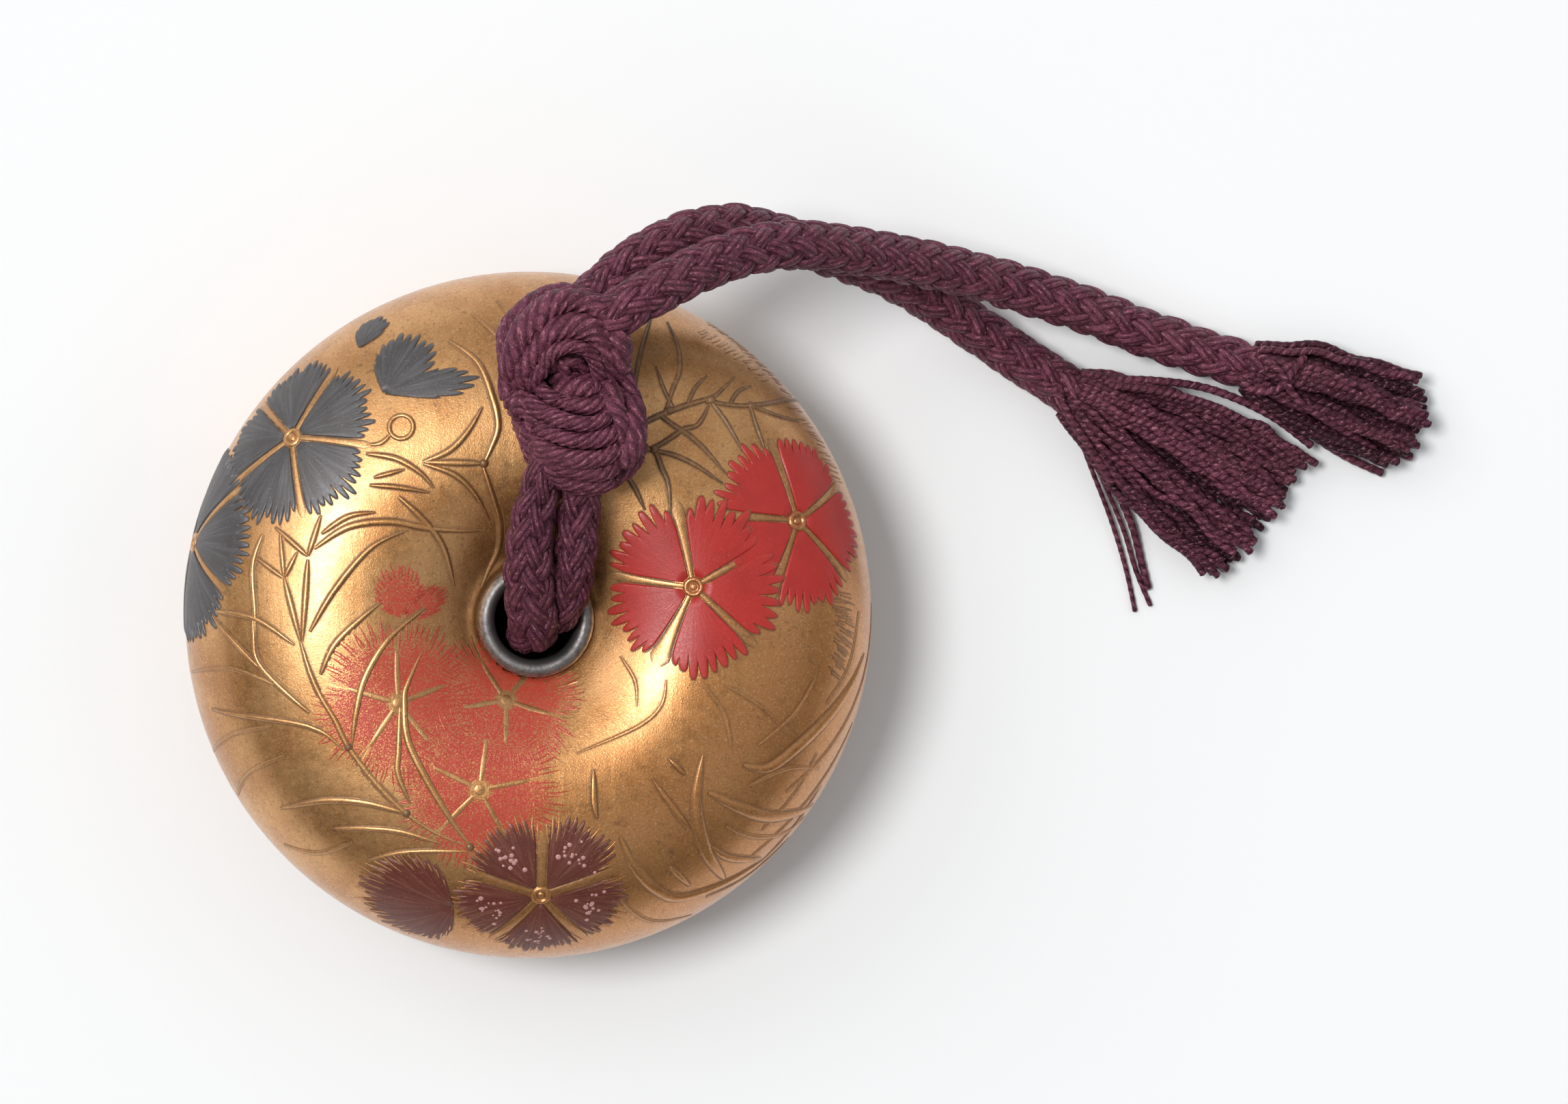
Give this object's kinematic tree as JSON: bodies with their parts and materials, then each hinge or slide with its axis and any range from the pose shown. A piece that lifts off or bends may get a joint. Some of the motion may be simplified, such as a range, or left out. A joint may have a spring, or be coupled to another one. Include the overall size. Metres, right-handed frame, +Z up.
{
  "type": "kagamibuta netsuke",
  "caption": "Round lacquered toggle with a dimpled back, metal-lined cord hole, metal disc lid and a knotted silk cord with tassels.",
  "frame": {"origin": "on the resting surface, under the centre of the bowl", "axes": "+Z up along the bowl's axis, out of the cord hole; +X towards the side that the cord's tails and tassels lie on"},
  "size_m": [0.0835, 0.0494, 0.0266],
  "materials": {
    "gold_lacquer": "gold maki-e lacquer on wood, satin",
    "raised_gold": "raised gold lacquer lines, satin",
    "red_lacquer": "red lacquer, semi-gloss",
    "grey_lacquer": "dark silver lacquer, semi-gloss",
    "brown_lacquer": "dark red-brown lacquer, semi-gloss",
    "eyelet_metal": "dark silver, worn bright on the edge",
    "lid_metal": "patinated copper alloy, polished",
    "purple_silk": "braided silk"
  },
  "bodies": {
    "root": {"bowl": "gold_lacquer", "eyelet": "eyelet_metal", "lid": "lid_metal", "cord_loop": "purple_silk", "cord_knot": "purple_silk", "cord_tail_front": "purple_silk", "cord_tail_rear": "purple_silk", "tassel_front": "purple_silk", "tassel_rear": "purple_silk"}
  },
  "joints": []
}
